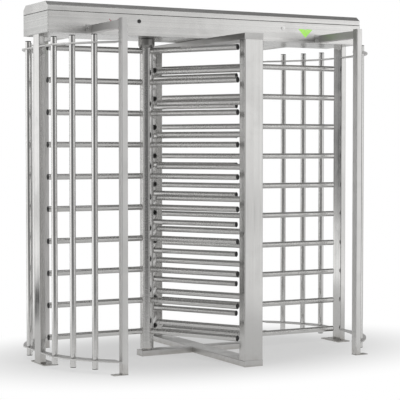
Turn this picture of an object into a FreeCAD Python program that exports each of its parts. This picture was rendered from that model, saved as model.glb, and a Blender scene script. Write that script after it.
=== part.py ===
import FreeCAD, Part
import math
import os

from FreeCAD import Vector

# Double full height turnstile: two three-winged rotors whose bars pass between each other, under one
# long header. The floor is z = 0, the origin is the middle of the floor frame, X runs along the header
# (the left rotor is on the -X side) and the front is towards -Y. All sizes are in millimetres.

# Header: a folded case with a lid
header_end_overhang = 3.0
header_depth = 424.0
case_height = 134.0
sheet = 2.0
rim_width = 12.0
seal_thickness = 3.0
seal_width = 10.0
seal_inset = 0.5
lid_side_height = 31.0
lid_slope_run = 40.0
lid_slope_rise = 28.0

# Bars of the rotor wings and of the fixed combs
bar_diameter = 38.0
bar_sides = 8
ring_sides = 16
bar_pitch = 206.5
bars_per_wing = 10
bars_per_comb = 9
floor_bar_gap = 28.0
left_bar_lift = 78.0
comb_bar_lift = 65.5
cap_length = 12.0

# Rotors
tip_radius = 704.0
tip_tube_gap = 27.55
wings_per_rotor = 3
tube_diameter = 88.9
tube_wall = 3.0
tube_floor_gap = 9.0
cope_sides = 16
head_diameter = 109.0
head_height = 40.0
head_cone_height = 18.0
head_cone_lip = 2.5
head_wall = 12.0
head_bar_gap = 0.5
head_gap = 3.0
shaft_diameter = 40.0
running_clearance = 0.05

# Floor frame, comb posts and the beam under the header
beam_height = 40.0
long_beam_width = 90.0
long_beam_overhang = 54.0
beam_wall = 3.0
beam_end_thickness = 3.0
comb_post_width = 135.0
comb_post_depth = 70.0
comb_post_wall = 3.0
comb_post_gap = 46.84
comb_tube_gap = 44.0
comb_angle_deg = 60.0

# End posts under the ends of the header
end_post_gap = 35.0
end_post_width = 40.0
end_post_depth = 100.0
end_post_wall = 3.0
end_foot_length = 220.0
end_foot_width = 100.0
end_foot_thickness = 8.0
end_foot_hole_pitch = 170.0
end_foot_hole_diameter = 14.0

# Guard posts at the four corners and the arms that tie them to the header
guard_post_width = 40.0
guard_post_depth = 50.0
guard_post_wall = 2.0
guard_post_gap = 90.7
guard_post_angle_deg = 54.01
guard_post_rise = 66.0
guard_foot_length = 97.0
guard_foot_width = 50.0
guard_foot_thickness = 6.0
guard_foot_hole_inset = 22.0
guard_foot_hole_diameter = 12.0
arm_height = 50.0
arm_drop = 10.0
arm_flange_width = 116.0
arm_flange_thickness = 4.0
arm_bolt_pitch = 92.0
arm_bolt_width = 13.0
arm_bolt_height = 5.0

# Guard drums of upright tubes that pass through rings of flat plate
guard_tube_diameter = 38.0
guard_tube_gap = 56.0
guard_tube_bottom = 23.0
guard_tube_drop = 27.0
guard_tubes_per_quarter = 3
guard_first_angle_deg = 16.5
guard_step_angle_deg = 11.85
ring_margin = 20.0
ring_thickness = 8.0
lower_ring_rise = 56.0
upper_ring_drop = 52.0
ring_end_inset = 2.0

# Rotor bearings, locking discs and solenoid bolts inside the header
plate_end_margin = 13.0
plate_side_margin = 50.0
plate_thickness = 8.0
shaft_hole_clearance = 8.0
bearing_diameter = 68.0
bearing_height = 20.0
bearing_seat = 4.0
housing_flange_size = 120.0
housing_flange_thickness = 8.0
housing_boss_diameter = 90.0
housing_height = 32.0
disc_diameter = 200.0
disc_thickness = 10.0
disc_hub_diameter = 64.0
disc_hub_height = 8.0
disc_gap = 2.0
disc_notches = 6
notch_width = 15.0
notch_depth = 16.0
shaft_end_height = 6.0
bolt_width = 14.0
bolt_height = 8.0
bolt_nose_length = 30.0
bolt_nose_bevel = 8.0
bolt_rest_gap = 3.0
bolt_travel = 14.0
bolt_tail_length = 42.0
solenoid_gap = 20.0
solenoid_length = 70.0
solenoid_width = 44.0
solenoid_cover = 20.0
solenoid_end = 4.0
sensor_width = 24.0
sensor_wall = 12.0
sensor_reach = 12.0
sensor_arm = 4.0
sensor_gap = 3.0

# Electrics inside the header
control_box_size = (280.0, 180.0, 60.0)
power_supply_size = (200.0, 110.0, 50.0)
power_supply_end_gap = 170.0
signal_board_width = 120.0
signal_board_height = 80.0
signal_board_thickness = 8.0
signal_from_axis = 332.0

# Key locks of the lid, on the front of the header
lid_lock_x = 541.5
lid_lock_drop = 42.0
lock_barrel_diameter = 16.0
lock_body_diameter = 22.0
lock_flange_diameter = 27.0
lock_flange_thickness = 3.0
lock_body_length = 22.0
lock_barrel_proud = 1.0
lock_slot_width = 2.0
lock_slot_length = 9.0
lock_slot_depth = 2.0
cam_length = 38.0
cam_width = 10.0
cam_thickness = 3.0
cam_gap = 1.0
hook_thickness = 3.0
hook_width = 9.0
hook_shelf = 17.0

# Hinges of the lid, on the back of the header
hinge_x = 700.0
hinge_length = 80.0
hinge_leaf_height = 22.0
hinge_leaf_thickness = 2.0
hinge_knuckle_diameter = 10.0
hinge_pin_diameter = 5.0
hinge_gap = 0.5

# Floor pivots that carry the rotors
pivot_flange_diameter = 68.0
pivot_flange_height = 6.0
pivot_pin_diameter = 30.0
pivot_pin_height = 30.0
pivot_gap = 0.3
bush_collar_height = 3.7
bush_height = 30.0

# Sizes that follow from the ones above
bar_radius = bar_diameter / 2
tube_radius = tube_diameter / 2
tube_bore = tube_radius - tube_wall
tube_bottom = beam_height + tube_floor_gap
lowest_right_bar = beam_height + floor_bar_gap + bar_radius
lowest_left_bar = lowest_right_bar + left_bar_lift
lowest_comb_bar = lowest_left_bar + comb_bar_lift
highest_bar = lowest_left_bar + (bars_per_wing - 1) * bar_pitch
head_bottom = highest_bar + bar_radius + head_bar_gap
head_shoulder = head_bottom + head_cone_height
head_top = head_shoulder + head_height
tube_bore_top = head_top - head_wall
header_bottom = head_top + head_gap
header_seam = header_bottom + case_height
case_floor = header_bottom + sheet
lid_bottom = header_seam + seal_thickness
lid_shoulder = lid_bottom + lid_side_height
lid_top = lid_shoulder + lid_slope_rise
rotor_offset = (tip_radius + tip_tube_gap + tube_radius) / 2
end_post_offset = rotor_offset + tip_radius + end_post_gap + end_post_width / 2
half_length = end_post_offset + end_post_width / 2 + header_end_overhang
header_length = 2 * half_length
half_depth = header_depth / 2
comb_post_back = math.sqrt((tip_radius + comb_post_gap) ** 2 - (rotor_offset - comb_post_width / 2) ** 2)
comb_post_front = comb_post_back + comb_post_depth
post_top = header_bottom - beam_height
floor_beam_end = rotor_offset + long_beam_overhang
guard_post_x = rotor_offset + (tip_radius + guard_post_gap) * math.cos(math.radians(guard_post_angle_deg))
guard_post_y = (tip_radius + guard_post_gap) * math.sin(math.radians(guard_post_angle_deg))
guard_post_top = header_bottom + guard_post_rise
arm_top = guard_post_top - arm_drop
guard_tube_radius = tip_radius + guard_tube_gap + guard_tube_diameter / 2
guard_tube_top = header_bottom - guard_tube_drop
ring_inner = guard_tube_radius - guard_tube_diameter / 2 - ring_margin
ring_outer = guard_tube_radius + guard_tube_diameter / 2 + ring_margin
lower_ring_z = guard_tube_bottom + lower_ring_rise
upper_ring_z = guard_tube_top - upper_ring_drop
solenoid_near = disc_diameter / 2 + bolt_rest_gap + solenoid_gap + bolt_travel
plate_length = 2 * (solenoid_near + solenoid_length + plate_end_margin)
plate_width = disc_diameter + 2 * plate_side_margin
plate_top = case_floor + plate_thickness
housing_top = plate_top + housing_height
disc_bottom = housing_top + disc_gap + disc_hub_height
disc_top = disc_bottom + disc_thickness
disc_middle = disc_bottom + disc_thickness / 2
shaft_top = disc_top + shaft_end_height
shaft_hole = shaft_diameter + 2 * shaft_hole_clearance
signal_z = header_bottom + case_height / 2
lid_lock_z = header_seam - lid_lock_drop
hinge_y = half_depth + hinge_knuckle_diameter / 2 + hinge_gap
hinge_z = header_seam + seal_thickness / 2
sides = {"left": -1, "right": 1}
faces = {"front": -1, "back": 1}


def box(x0, x1, y0, y1, z0, z1):
    """A block between two corners, given in any order."""
    low = Vector(min(x0, x1), min(y0, y1), min(z0, z1))
    return Part.makeBox(abs(x1 - x0), abs(y1 - y0), abs(z1 - z0), low)


def round_bar(diameter, start, end):
    """A true cylinder between two points."""
    return Part.makeCylinder(diameter / 2, (end - start).Length, start, end - start)


def prism(radius, start, end, count, shift):
    """A prism between two points, its corners at a radius from its axis, turned by a share of one side."""
    along = (end - start).normalize()
    side = Vector(1, 0, 0) if abs(along.z) > 0.9 else Vector(0, 0, 1).cross(along).normalize()
    up = along.cross(side)
    corners = []
    for corner in range(count):
        angle = 2 * math.pi * (corner + shift) / count
        corners.append(start + side * (radius * math.cos(angle)) + up * (radius * math.sin(angle)))
    return outline(corners).extrude(end - start)


def prism_bar(diameter, start, end, count=bar_sides):
    """A bar with few faces, for what repeats or is hidden: its corners lie on the bar's round surface."""
    return prism(diameter / 2, start, end, count, 0)


def prism_hole(diameter, start, end, count=ring_sides):
    """What cuts a hole with few faces, whose flats touch the round thing that passes through it."""
    return prism(diameter / 2 / math.cos(math.pi / count), start, end, count, 0.5)


def outline(corners):
    """The flat face inside a closed outline."""
    return Part.Face(Part.makePolygon(corners + corners[:1]))


def hollow_box(x0, x1, y0, y1, z0, z1, wall, along):
    """A rectangular tube whose bore runs along X, Y or Z."""
    grow = {axis: (0 if axis == along else wall) for axis in "XYZ"}
    bore_x = (x0 + grow["X"], x1 - grow["X"])
    bore_y = (y0 + grow["Y"], y1 - grow["Y"])
    bore_z = (z0 + grow["Z"], z1 - grow["Z"])
    return box(x0, x1, y0, y1, z0, z1).cut(box(*bore_x, *bore_y, *bore_z))


def polar(x, radius, degrees, z=0.0):
    """A point at a radius and an angle round an upright axis at (x, 0)."""
    angle = math.radians(degrees)
    return Vector(x + radius * math.cos(angle), radius * math.sin(angle), z)


def turned(shape, degrees, x=0.0, y=0.0):
    """A copy turned about an upright axis."""
    copy = shape.copy()
    copy.rotate(Vector(x, y, 0), Vector(0, 0, 1), degrees)
    return copy


def mirrored(shape, normal):
    """A copy mirrored in the plane through the origin with this normal."""
    return shape.mirror(Vector(0, 0, 0), normal)


def save(node, *solids):
    """Writes one node, made of one or more separate solids."""
    shape = solids[0] if len(solids) == 1 else Part.makeCompound(list(solids))
    shape.exportStep(f"parts/{node}.step")


def lid_profile(inset, x):
    """The closed outline of the lid's section at one x, set in from its outer faces by an inset."""
    slope = math.hypot(lid_slope_run, lid_slope_rise)
    y = half_depth - inset
    shoulder = lid_shoulder - inset * (slope - lid_slope_rise) / lid_slope_run
    top = lid_top - inset
    ridge = y - lid_slope_run * (top - shoulder) / lid_slope_rise
    points = [(-y, lid_bottom), (-y, shoulder), (-ridge, top), (ridge, top), (y, shoulder), (y, lid_bottom)]
    corners = [Vector(x, a, b) for a, b in points]
    return outline(corners)


def header_case():
    """The folded channel of the header: a floor and two long walls with a rim turned in at the top."""
    inner_x = half_length - sheet
    inner_y = half_depth - sheet
    rim_y = inner_y - rim_width
    case = box(-inner_x, inner_x, -half_depth, half_depth, header_bottom, header_seam)
    case = case.cut(box(-inner_x, inner_x, -inner_y, inner_y, case_floor, header_seam - sheet))
    case = case.cut(box(-inner_x, inner_x, -rim_y, rim_y, case_floor, header_seam))
    for side in sides.values():
        shaft = Vector(side * rotor_offset, 0, header_bottom)
        case = case.cut(prism_hole(shaft_hole, shaft, shaft + Vector(0, 0, sheet)))
        lock = Vector(side * lid_lock_x, -half_depth, lid_lock_z)
        case = case.cut(prism_bar(lock_body_diameter, lock, lock + Vector(0, sheet, 0)))
    return case


def header_end(side):
    """The plate that closes one end of the channel, with its own turned-in rim."""
    outer = side * half_length
    inner = side * (half_length - sheet)
    rim_x = side * (half_length - sheet - rim_width)
    rim_y = half_depth - sheet - rim_width
    plate = box(outer, inner, -half_depth, half_depth, header_bottom, header_seam)
    return plate.fuse(box(inner, rim_x, -rim_y, rim_y, header_seam - sheet, header_seam)).removeSplitter()


def lid_seal():
    """The rubber strips between the case and the lid: two long ones and two short ones between them."""
    outer_x = half_length - seal_inset
    outer_y = half_depth - seal_inset
    inner_x = outer_x - seal_width
    inner_y = outer_y - seal_width
    strips = []
    for way in (-1, 1):
        strips.append(box(-outer_x, outer_x, way * inner_y, way * outer_y, header_seam, lid_bottom))
        strips.append(box(way * inner_x, way * outer_x, -inner_y, inner_y, header_seam, lid_bottom))
    return strips


def lid_hook(side):
    """The hook under the lid that a lock's cam turns over, beside the lock on the way to the middle."""
    y1 = -half_depth + lock_body_length + cam_gap + cam_thickness / 2 + hook_width / 2
    y0 = y1 - hook_width
    tip = side * lid_lock_x - side * (cam_length + hook_thickness)
    shelf_z = lid_lock_z - cam_width / 2 - cam_gap
    leg = box(tip, tip - side * hook_thickness, y0, y1, shelf_z - hook_thickness, lid_top)
    shelf = box(tip, tip + side * hook_shelf, y0, y1, shelf_z - hook_thickness, shelf_z)
    below = box(-half_length, half_length, -half_depth, half_depth, header_bottom, lid_bottom)
    return leg.fuse(shelf).common(lid_cavity().fuse(below)).removeSplitter()


def lid_cavity():
    """The space inside the lid."""
    return lid_profile(sheet, -half_length + sheet).extrude(Vector(header_length - 2 * sheet, 0, 0))


def header_lid():
    """The shallow lid with sloped long edges, open underneath."""
    return lid_profile(0, -half_length).extrude(Vector(header_length, 0, 0)).cut(lid_cavity())


def hinge_leaf(x0, x1, z0, z1):
    """A flat leaf on the back of the header."""
    return box(x0, x1, half_depth, half_depth + hinge_leaf_thickness, z0, z1)


def fixed_hinge(side):
    """The half of a lid hinge on the case, with the pin."""
    x = side * hinge_x
    start = Vector(x - hinge_length / 2, hinge_y, hinge_z)
    middle = Vector(x - hinge_gap, hinge_y, hinge_z)
    end = Vector(x + hinge_length / 2, hinge_y, hinge_z)
    near = hinge_z - hinge_knuckle_diameter / 2 - hinge_gap
    leaf = hinge_leaf(start.x, end.x, near, near - hinge_leaf_height)
    leaf = leaf.fuse(hinge_leaf(start.x, middle.x, near, hinge_z))
    leaf = leaf.fuse(prism_bar(hinge_knuckle_diameter, start, middle))
    return leaf.fuse(round_bar(hinge_pin_diameter, middle, end))


def moving_hinge(side):
    """The half of a lid hinge on the lid, bored for the pin."""
    x = side * hinge_x
    middle = Vector(x + hinge_gap, hinge_y, hinge_z)
    end = Vector(x + hinge_length / 2, hinge_y, hinge_z)
    near = hinge_z + hinge_knuckle_diameter / 2 + hinge_gap
    leaf = hinge_leaf(x - hinge_length / 2, end.x, near, near + hinge_leaf_height)
    leaf = leaf.fuse(hinge_leaf(middle.x, end.x, lid_bottom, near))
    leaf = leaf.fuse(prism_bar(hinge_knuckle_diameter, middle, end))
    return leaf.cut(prism_hole(hinge_pin_diameter + 2 * running_clearance, middle, end, bar_sides))


def lock_housing(side):
    """The fixed body of a lid lock: a flange on the front face and a bored body behind it."""
    front = Vector(side * lid_lock_x, -half_depth, lid_lock_z)
    back = front + Vector(0, lock_body_length, 0)
    face = front - Vector(0, lock_flange_thickness, 0)
    body = prism_bar(lock_flange_diameter, face, front).fuse(prism_bar(lock_body_diameter, front, back))
    return body.cut(round_bar(lock_barrel_diameter + 2 * running_clearance, face, back))


def lid_lock(side):
    """The barrel that the key turns, with its slot in front and its cam behind."""
    x = side * lid_lock_x
    front = -half_depth - lock_flange_thickness - lock_barrel_proud
    back = -half_depth + lock_body_length + cam_gap
    barrel = prism_bar(lock_barrel_diameter, Vector(x, front, lid_lock_z), Vector(x, back, lid_lock_z))
    slot = box(
        x - lock_slot_width / 2,
        x + lock_slot_width / 2,
        front,
        front + lock_slot_depth,
        lid_lock_z - lock_slot_length / 2,
        lid_lock_z + lock_slot_length / 2,
    )
    half_cam = cam_width / 2
    cam_top = lid_lock_z + cam_length
    cam = box(x - half_cam, x + half_cam, back, back + cam_thickness, lid_lock_z - half_cam, cam_top)
    return barrel.cut(slot).fuse(cam)


def bars_from(axis_x, inner, outer, degrees, lowest, count):
    """A row of level bars on one side of an upright axis, one above the other."""
    bars = []
    for level in range(count):
        z = lowest + level * bar_pitch
        start = polar(axis_x, inner, degrees, z)
        bars.append(prism_bar(bar_diameter, start, polar(axis_x, outer, degrees, z)))
    return bars


def wing(axis_x, degrees, lowest):
    """The bars of one wing, their inner ends coped to sit against the rotor tube."""
    cope_radius = tube_radius / math.cos(math.pi / cope_sides)
    corners = [polar(axis_x, cope_radius, degrees + 360 * (k + 0.5) / cope_sides) for k in range(cope_sides)]
    cope = outline(corners).extrude(Vector(0, 0, header_bottom))
    root = tube_radius * 0.5
    bars = bars_from(axis_x, root, tip_radius - cap_length, degrees, lowest, bars_per_wing)
    return [bar.cut(cope) for bar in bars]


def rotor_tube(axis_x):
    """The rotor's tube, with the turned head and the shaft welded into its top."""
    shaft_radius = shaft_diameter / 2
    section = [
        (tube_radius, tube_bottom),
        (tube_radius, head_bottom),
        (tube_radius + head_cone_lip, head_bottom),
        (head_diameter / 2, head_shoulder),
        (head_diameter / 2, head_top),
        (shaft_radius, head_top),
        (shaft_radius, shaft_top),
        (0, shaft_top),
        (0, tube_bore_top),
        (tube_bore, tube_bore_top),
        (tube_bore, tube_bottom),
    ]
    corners = [Vector(axis_x + radius, 0, z) for radius, z in section]
    return outline(corners).revolve(Vector(axis_x, 0, 0), Vector(0, 0, 1), 360)


def locking_disc(axis_x):
    """The notched disc on the shaft that the solenoid bolts drop into."""
    low = Vector(axis_x, 0, disc_bottom)
    high = Vector(axis_x, 0, disc_top)
    hub = low - Vector(0, 0, disc_hub_height)
    disc = prism_bar(disc_diameter, low, high, 2 * ring_sides)
    disc = disc.fuse(prism_bar(disc_hub_diameter, hub, low, ring_sides))
    radius = disc_diameter / 2
    half = notch_width / 2
    notch = box(radius - notch_depth, radius + notch_depth, -half, half, disc_bottom, disc_top)
    notch.translate(Vector(axis_x, 0, 0))
    for k in range(disc_notches):
        disc = disc.cut(turned(notch, 360 * k / disc_notches, axis_x))
    return disc.cut(prism_hole(shaft_diameter, hub, high))


def rotor_bush(axis_x):
    """The plug in the foot of the rotor tube, bored to turn on the floor pivot."""
    foot = beam_height + pivot_flange_height + pivot_gap
    collar_top = foot + bush_collar_height
    top = collar_top + bush_height
    low = Vector(axis_x, 0, foot)
    high = Vector(axis_x, 0, top)
    middle = Vector(axis_x, 0, collar_top)
    bush = prism_bar(pivot_flange_diameter, low, middle, ring_sides)
    bush = bush.fuse(prism_bar(2 * tube_bore, middle, high, ring_sides))
    return bush.cut(prism_hole(pivot_pin_diameter + 2 * running_clearance, low, high))


def floor_pivot(axis_x):
    """The flanged pin on the floor beam that a rotor stands on."""
    base = Vector(axis_x, 0, beam_height)
    shoulder = base + Vector(0, 0, pivot_flange_height)
    flange = prism_bar(pivot_flange_diameter, base, shoulder, ring_sides)
    return flange.fuse(round_bar(pivot_pin_diameter, shoulder, shoulder + Vector(0, 0, pivot_pin_height)))


def bearing_housing(axis_x):
    """The square flange and round boss that hold a shaft bearing on its plate."""
    half = housing_flange_size / 2
    flange_top = plate_top + housing_flange_thickness
    body = box(axis_x - half, axis_x + half, -half, half, plate_top, flange_top)
    low = Vector(axis_x, 0, plate_top)
    high = Vector(axis_x, 0, housing_top)
    seat = low + Vector(0, 0, bearing_seat)
    body = body.fuse(prism_bar(housing_boss_diameter, low, high, ring_sides))
    body = body.cut(prism_bar(bearing_diameter, seat, high, ring_sides))
    return body.cut(prism_hole(shaft_hole, low, seat))


def shaft_bearing(axis_x):
    seat = Vector(axis_x, 0, plate_top + bearing_seat)
    top = seat + Vector(0, 0, bearing_height)
    bore = shaft_diameter + 2 * running_clearance
    return prism_bar(bearing_diameter, seat, top, ring_sides).cut(prism_hole(bore, seat, top))


def mechanism_plate(axis_x):
    half = plate_length / 2
    plate = box(axis_x - half, axis_x + half, -plate_width / 2, plate_width / 2, case_floor, plate_top)
    return plate.cut(prism_hole(shaft_hole, Vector(axis_x, 0, case_floor), Vector(axis_x, 0, plate_top)))


def lock_bolt(axis_x, side):
    """The flat bolt that a solenoid pushes into the disc, drawn back, its nose bevelled on one edge."""
    tip = disc_diameter / 2 + bolt_rest_gap
    end = tip + bolt_nose_length + bolt_tail_length
    z0 = disc_middle - bolt_height / 2
    half = bolt_width / 2
    bevel = bolt_nose_bevel
    section = [(tip, bevel - half), (tip + bevel, -half), (end, -half), (end, half), (tip, half)]
    bolt = outline([Vector(x, y, z0) for x, y in section]).extrude(Vector(0, 0, bolt_height))
    return placed_round(bolt, 0 if side > 0 else 180, axis_x)


def lock_solenoid(axis_x, side):
    """The solenoid block on the plate, with the channel that its bolt slides in."""
    half = solenoid_width / 2
    top = disc_middle + bolt_height / 2 + solenoid_cover
    block = box(solenoid_near, solenoid_near + solenoid_length, -half, half, plate_top, top)
    wide = bolt_width / 2 + running_clearance
    high = bolt_height / 2 + running_clearance
    end = solenoid_near + solenoid_length - solenoid_end
    block = block.cut(box(solenoid_near, end, -wide, wide, disc_middle - high, disc_middle + high))
    return placed_round(block, 0 if side > 0 else 180, axis_x)


def position_sensor(axis_x):
    """The forked sensor that reads the notches of the disc, behind the shaft."""
    rim = disc_diameter / 2
    half = sensor_width / 2
    inner = rim - sensor_reach
    outer = rim + sensor_gap
    low = disc_bottom - sensor_gap
    high = disc_top + sensor_gap
    post = box(axis_x - half, axis_x + half, outer, outer + sensor_wall, plate_top, high + sensor_arm)
    lower = box(axis_x - half, axis_x + half, inner, outer, low - sensor_arm, low)
    upper = box(axis_x - half, axis_x + half, inner, outer, high, high + sensor_arm)
    return post.fuse(lower).fuse(upper)


def signal_board(side, face):
    """The board of signal lamps behind the header's face."""
    wall = face * (half_depth - sheet)
    x = side * (rotor_offset + signal_from_axis)
    half_width = signal_board_width / 2
    half_height = signal_board_height / 2
    back = wall - face * signal_board_thickness
    return box(x - half_width, x + half_width, wall, back, signal_z - half_height, signal_z + half_height)


def comb_post(face):
    y0 = face * comb_post_back
    y1 = face * comb_post_front
    half = comb_post_width / 2
    return hollow_box(-half, half, min(y0, y1), max(y0, y1), beam_height, post_top, comb_post_wall, "Z")


def comb_bars():
    """The front comb: bars from the front post to a gap in front of the left rotor's tube."""
    axis_x = -rotor_offset
    start = tube_radius + comb_tube_gap + cap_length
    reach = math.hypot(rotor_offset, comb_post_front)
    bars = bars_from(axis_x, start, reach, -comb_angle_deg, lowest_comb_bar, bars_per_comb)
    beyond = box(-half_length, half_length, -comb_post_back, -2 * comb_post_front, 0, header_bottom)
    return [bar.cut(beyond) for bar in bars]


def comb_caps():
    start = tube_radius + comb_tube_gap
    end = start + cap_length
    return bars_from(-rotor_offset, start, end, -comb_angle_deg, lowest_comb_bar, bars_per_comb)


def cross_beam(z):
    half = comb_post_width / 2
    end = comb_post_front - beam_end_thickness
    return hollow_box(-half, half, -end, end, z, z + beam_height, beam_wall, "Y")


def floor_beam(side):
    """A long floor beam, from the cross beam to just past the rotor that stands on it."""
    x0, x1 = sorted((side * comb_post_width / 2, side * (floor_beam_end - beam_end_thickness)))
    half = long_beam_width / 2
    return hollow_box(x0, x1, -half, half, 0, beam_height, beam_wall, "X")


def beam_ends():
    """The plates that close the open ends of the beams."""
    plates = []
    wide = comb_post_width / 2
    for face in faces.values():
        y0 = face * (comb_post_front - beam_end_thickness)
        for z in (0, post_top):
            plates.append(box(-wide, wide, y0, face * comb_post_front, z, z + beam_height))
    wide = long_beam_width / 2
    for side in sides.values():
        x0 = side * (floor_beam_end - beam_end_thickness)
        plates.append(box(x0, side * floor_beam_end, -wide, wide, 0, beam_height))
    return plates


def end_post(side):
    x = side * end_post_offset
    wide = end_post_width / 2
    deep = end_post_depth / 2
    return hollow_box(x - wide, x + wide, -deep, deep, end_foot_thickness, header_bottom, end_post_wall, "Z")


def end_foot(side):
    """The floor plate of an end post, flush with its outer face, with an anchor hole at each end."""
    outer = side * (end_post_offset + end_post_width / 2)
    inner = outer - side * end_foot_width
    foot = box(outer, inner, -end_foot_length / 2, end_foot_length / 2, 0, end_foot_thickness)
    middle = (outer + inner) / 2
    for face in faces.values():
        hole = Vector(middle, face * end_foot_hole_pitch / 2, 0)
        foot = foot.cut(round_bar(end_foot_hole_diameter, hole, hole + Vector(0, 0, end_foot_thickness)))
    return foot


def guard_post(side, face):
    """A corner post of rectangular tube, closed at the top."""
    wide = guard_post_width / 2
    deep = guard_post_depth / 2
    x = side * guard_post_x
    y = face * guard_post_y
    post = box(x - wide, x + wide, y - deep, y + deep, guard_foot_thickness, guard_post_top)
    wide -= guard_post_wall
    deep -= guard_post_wall
    top = guard_post_top - guard_post_wall
    return post.cut(box(x - wide, x + wide, y - deep, y + deep, guard_foot_thickness, top))


def guard_foot(side, face):
    """The floor plate of a guard post, which reaches outwards to its anchor hole."""
    inner = side * (guard_post_x - guard_post_width / 2)
    outer = inner + side * guard_foot_length
    y = face * guard_post_y
    half = guard_foot_width / 2
    foot = box(inner, outer, y - half, y + half, 0, guard_foot_thickness)
    hole = Vector(outer - side * guard_foot_hole_inset, y, 0)
    return foot.cut(round_bar(guard_foot_hole_diameter, hole, hole + Vector(0, 0, guard_foot_thickness)))


def guard_arm(side, face):
    """The rectangular tube from a guard post back to the header, with its flange on the header's face."""
    half = guard_post_width / 2
    x = side * guard_post_x
    low = arm_top - arm_height
    post_y = face * (guard_post_y - guard_post_depth / 2)
    flange_y = face * (half_depth + arm_flange_thickness)
    y0, y1 = sorted((post_y, flange_y))
    tube = hollow_box(x - half, x + half, y0, y1, low, arm_top, guard_post_wall, "Y")
    wide = arm_flange_width / 2
    return tube.fuse(box(x - wide, x + wide, flange_y, face * half_depth, low, arm_top))


def arm_bolt(x, face):
    """A hexagon bolt head on the flange of an arm."""
    z = arm_top - arm_height / 2
    y = face * (half_depth + arm_flange_thickness)
    radius = arm_bolt_width / 2 / math.cos(math.pi / 6)
    corners = []
    for k in range(6):
        angle = math.pi * k / 3
        corners.append(Vector(x + radius * math.cos(angle), y, z + radius * math.sin(angle)))
    return outline(corners).extrude(Vector(0, face * arm_bolt_height, 0))


def guard_angles():
    """The angles of a quarter's tubes, from the outward direction of the drum."""
    return [guard_first_angle_deg + k * guard_step_angle_deg for k in range(guard_tubes_per_quarter)]


def guard_tube_axes(side):
    """The angle of each tube of one drum, measured round that drum's rotor."""
    outward = 0 if side > 0 else 180
    return [outward + sign * angle for sign in (-1, 1) for angle in guard_angles()]


def guard_tubes(side):
    tubes = []
    axis_x = side * rotor_offset
    for degrees in guard_tube_axes(side):
        low = Vector(guard_tube_radius, 0, guard_tube_bottom)
        high = Vector(guard_tube_radius, 0, guard_tube_top)
        tubes.append(placed_round(prism_bar(guard_tube_diameter, low, high), degrees, axis_x))
    return tubes


def placed_round(shape, degrees, axis_x):
    """Moves what was made round the origin to its angle round a rotor's axis."""
    shape = turned(shape, degrees)
    shape.translate(Vector(axis_x, 0, 0))
    return shape


def ring_quarter(z):
    """The right front quarter of a ring: a flat arc from the guard post, then a straight run to the end post."""
    base = z - ring_thickness / 2
    middle = Vector(rotor_offset, 0, base)
    up = Vector(0, 0, ring_thickness)
    outer_x = end_post_offset + end_post_width / 2 - ring_end_inset
    band = Part.makeCylinder(ring_outer, ring_thickness, middle)
    band = band.cut(Part.makeCylinder(ring_inner, ring_thickness, middle))
    far = 2 * ring_outer
    wedge = [middle, polar(rotor_offset, far, -guard_first_angle_deg, base)]
    wedge += [Vector(rotor_offset + far, -far, base), Vector(rotor_offset, -far, base)]
    room = box(guard_post_x + guard_post_width / 2, outer_x, -far, 0, base, base + ring_thickness)
    arc = band.common(outline(wedge).extrude(up)).common(room)
    post_y = -end_post_depth / 2
    bend_y = -math.sqrt(ring_outer**2 - (outer_x - rotor_offset) ** 2)
    stay = [polar(rotor_offset, ring_inner, -guard_first_angle_deg, base)]
    stay.append(Vector(end_post_offset - end_post_width / 2, post_y, base))
    stay += [Vector(outer_x, post_y, base), Vector(outer_x, bend_y, base)]
    plate = arc.fuse(outline(stay).extrude(up)).removeSplitter()
    for tube in guard_tubes(1):
        plate = plate.cut(tube)
    return plate


def guard_rings(side):
    """The two rings of one drum, each in a front and a back piece."""
    pieces = []
    for z in (lower_ring_z, upper_ring_z):
        quarter = ring_quarter(z)
        for face in faces.values():
            piece = quarter if face < 0 else mirrored(quarter, Vector(0, 1, 0))
            pieces.append(piece if side > 0 else mirrored(piece, Vector(1, 0, 0)))
    return pieces


def save_frame():
    """The fixed frame: header, posts, beams, combs and guard drums."""
    save("header_case", header_case())
    save("header_end_plates", *[header_end(side) for side in sides.values()])
    save("lid_seal", *lid_seal())
    save("top_cross_beam", cross_beam(post_top))
    save("floor_cross_beam", cross_beam(0))
    save("beam_end_plates", *beam_ends())
    save("comb_bars_front", *comb_bars())
    save("comb_bars_back", *[turned(bar, 180) for bar in comb_bars()])
    save("comb_end_caps", *comb_caps(), *[turned(cap, 180) for cap in comb_caps()])
    feet = [end_foot(side) for side in sides.values()]
    for face_name, face in faces.items():
        save(f"comb_post_{face_name}", comb_post(face))
    for side_name, side in sides.items():
        save(f"floor_beam_{side_name}", floor_beam(side))
        save(f"end_post_{side_name}", end_post(side))
        save(f"guard_tubes_{side_name}", *guard_tubes(side))
        save(f"guard_rings_{side_name}", *guard_rings(side))
        for face_name, face in faces.items():
            save(f"guard_post_{face_name}_{side_name}", guard_post(side, face))
            feet.append(guard_foot(side, face))
    save("floor_plates", *feet)
    corners = [(side, face) for side in sides.values() for face in faces.values()]
    save("guard_arms", *[guard_arm(side, face) for side, face in corners])
    bolt_places = []
    for side, face in corners:
        for way in (-1, 1):
            bolt_places.append((side * guard_post_x + way * arm_bolt_pitch / 2, face))
    save("arm_bolts", *[arm_bolt(x, face) for x, face in bolt_places])
    save("floor_pivots", *[floor_pivot(side * rotor_offset) for side in sides.values()])


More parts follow.
